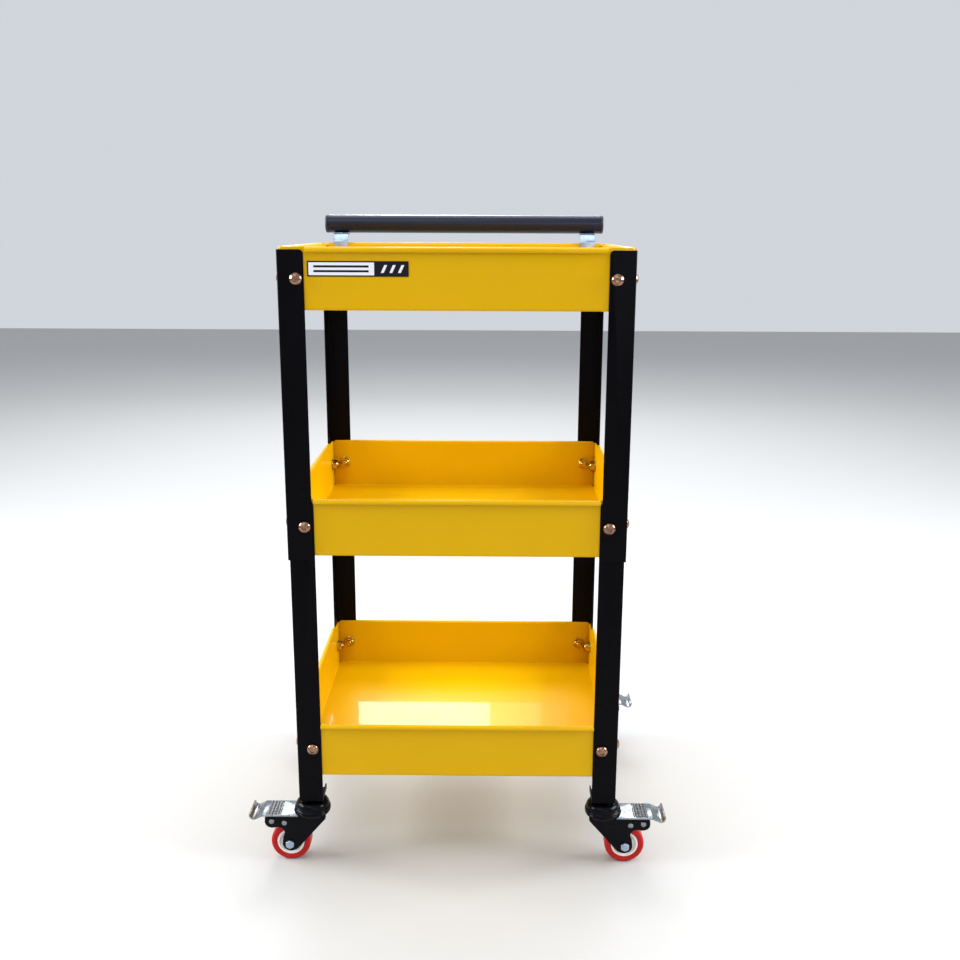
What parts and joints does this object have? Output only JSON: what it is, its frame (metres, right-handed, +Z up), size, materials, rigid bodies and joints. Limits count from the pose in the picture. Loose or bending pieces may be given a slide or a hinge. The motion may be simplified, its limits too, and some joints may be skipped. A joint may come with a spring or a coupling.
{
  "type": "rolling tool trolley",
  "caption": "Open tool trolley: folded sheet-steel trays bolted to angle-section legs, a push handle behind the top tray and braked swivel casters.",
  "frame": {"origin": "on the floor, under the middle of the whole object's box (the handle overhangs the rear, so this is 12.5 mm behind the middle of the leg frame)", "axes": "+Z up, -Y towards the front with the label, +X to the right of a person facing the front"},
  "size_m": [0.5244, 0.398, 0.8037],
  "materials": {
    "leg_paint": "gloss black powder coat on steel angle",
    "tray_paint": "gloss yellow powder coat on sheet steel",
    "bronzed_bolt": "colour-passivated steel, pinkish bronze",
    "handle_paint": "black paint on steel tube",
    "cap_plastic": "black moulded plastic",
    "zinc_plate": "bright zinc plate",
    "pedal_zinc": "bright zinc plate on pressed steel",
    "label_film": "printed film, plain two-tone",
    "caster_black": "gloss black electro-coat on pressed steel",
    "hub_plastic": "pale moulded nylon",
    "tyre_red": "semi-gloss red polyurethane"
  },
  "bodies": {
    "frame": {"upper_leg_front_left": "leg_paint", "lower_leg_front_left": "leg_paint", "upper_leg_front_right": "leg_paint", "lower_leg_front_right": "leg_paint", "upper_leg_rear_left": "leg_paint", "lower_leg_rear_left": "leg_paint", "upper_leg_rear_right": "leg_paint", "lower_leg_rear_right": "leg_paint", "top_tray": "tray_paint", "middle_tray": "tray_paint", "bottom_tray": "tray_paint", "tray_bolt_top_front_left": "bronzed_bolt", "tray_bolt_top_front_right": "bronzed_bolt", "tray_bolt_top_rear_left": "bronzed_bolt", "tray_bolt_top_rear_right": "bronzed_bolt", "tray_bolt_middle_front_left": "bronzed_bolt", "tray_bolt_middle_front_right": "bronzed_bolt", "tray_bolt_middle_rear_left": "bronzed_bolt", "tray_bolt_middle_rear_right": "bronzed_bolt", "tray_bolt_bottom_front_left": "bronzed_bolt", "tray_bolt_bottom_front_right": "bronzed_bolt", "tray_bolt_bottom_rear_left": "bronzed_bolt", "tray_bolt_bottom_rear_right": "bronzed_bolt", "handle_tube": "handle_paint", "handle_cap_left": "cap_plastic", "handle_bracket_left": "zinc_plate", "handle_screw_left": "zinc_plate", "handle_cap_right": "cap_plastic", "handle_bracket_right": "zinc_plate", "handle_screw_right": "zinc_plate", "label_plate": "label_film", "caster_stem_front_left": "caster_black", "stem_nut_front_left": "zinc_plate", "caster_stem_front_right": "caster_black", "stem_nut_front_right": "zinc_plate", "caster_stem_rear_left": "caster_black", "stem_nut_rear_left": "zinc_plate", "caster_stem_rear_right": "caster_black", "stem_nut_rear_right": "zinc_plate"},
    "fork_front_left": {"caster_fork_front_left": "caster_black", "wheel_axle_front_left": "zinc_plate"},
    "wheel_front_left": {"wheel_core_front_left": "hub_plastic", "wheel_tyre_front_left": "tyre_red"},
    "pedal_front_left": {"brake_pedal_front_left": "pedal_zinc"},
    "fork_front_right": {"caster_fork_front_right": "caster_black", "wheel_axle_front_right": "zinc_plate"},
    "wheel_front_right": {"wheel_core_front_right": "hub_plastic", "wheel_tyre_front_right": "tyre_red"},
    "pedal_front_right": {"brake_pedal_front_right": "pedal_zinc"},
    "fork_rear_left": {"caster_fork_rear_left": "caster_black", "wheel_axle_rear_left": "zinc_plate"},
    "wheel_rear_left": {"wheel_core_rear_left": "hub_plastic", "wheel_tyre_rear_left": "tyre_red"},
    "pedal_rear_left": {"brake_pedal_rear_left": "pedal_zinc"},
    "fork_rear_right": {"caster_fork_rear_right": "caster_black", "wheel_axle_rear_right": "zinc_plate"},
    "wheel_rear_right": {"wheel_core_rear_right": "hub_plastic", "wheel_tyre_rear_right": "tyre_red"},
    "pedal_rear_right": {"brake_pedal_rear_right": "pedal_zinc"}
  },
  "joints": [
    {"name": "swivel_front_left", "type": "hinge", "parent": "frame", "child": "fork_front_left", "pos_m": [-0.184, -0.1765, 0.066], "axis": [0, 0, 1], "continuous": true},
    {"name": "wheel_spin_front_left", "type": "hinge", "parent": "fork_front_left", "child": "wheel_front_left", "pos_m": [-0.212, -0.1765, 0.025], "axis": [0, 1, 0], "continuous": true},
    {"name": "brake_front_left", "type": "hinge", "parent": "fork_front_left", "child": "pedal_front_left", "pos_m": [-0.2345, -0.1765, 0.056], "axis": [0, -1, 0], "range_deg": [0, 12]},
    {"name": "swivel_front_right", "type": "hinge", "parent": "frame", "child": "fork_front_right", "pos_m": [0.184, -0.1765, 0.066], "axis": [0, 0, 1], "continuous": true},
    {"name": "wheel_spin_front_right", "type": "hinge", "parent": "fork_front_right", "child": "wheel_front_right", "pos_m": [0.212, -0.1765, 0.025], "axis": [0, 1, 0], "continuous": true},
    {"name": "brake_front_right", "type": "hinge", "parent": "fork_front_right", "child": "pedal_front_right", "pos_m": [0.2345, -0.1765, 0.056], "axis": [0, 1, 0], "range_deg": [0, 12]},
    {"name": "swivel_rear_left", "type": "hinge", "parent": "frame", "child": "fork_rear_left", "pos_m": [-0.184, 0.1515, 0.066], "axis": [0, 0, 1], "continuous": true},
    {"name": "wheel_spin_rear_left", "type": "hinge", "parent": "fork_rear_left", "child": "wheel_rear_left", "pos_m": [-0.212, 0.1515, 0.025], "axis": [0, 1, 0], "continuous": true},
    {"name": "brake_rear_left", "type": "hinge", "parent": "fork_rear_left", "child": "pedal_rear_left", "pos_m": [-0.2345, 0.1515, 0.056], "axis": [0, -1, 0], "range_deg": [0, 12]},
    {"name": "swivel_rear_right", "type": "hinge", "parent": "frame", "child": "fork_rear_right", "pos_m": [0.184, 0.1515, 0.066], "axis": [0, 0, 1], "continuous": true},
    {"name": "wheel_spin_rear_right", "type": "hinge", "parent": "fork_rear_right", "child": "wheel_rear_right", "pos_m": [0.212, 0.1515, 0.025], "axis": [0, 1, 0], "continuous": true},
    {"name": "brake_rear_right", "type": "hinge", "parent": "fork_rear_right", "child": "pedal_rear_right", "pos_m": [0.2345, 0.1515, 0.056], "axis": [0, 1, 0], "range_deg": [0, 12]}
  ]
}
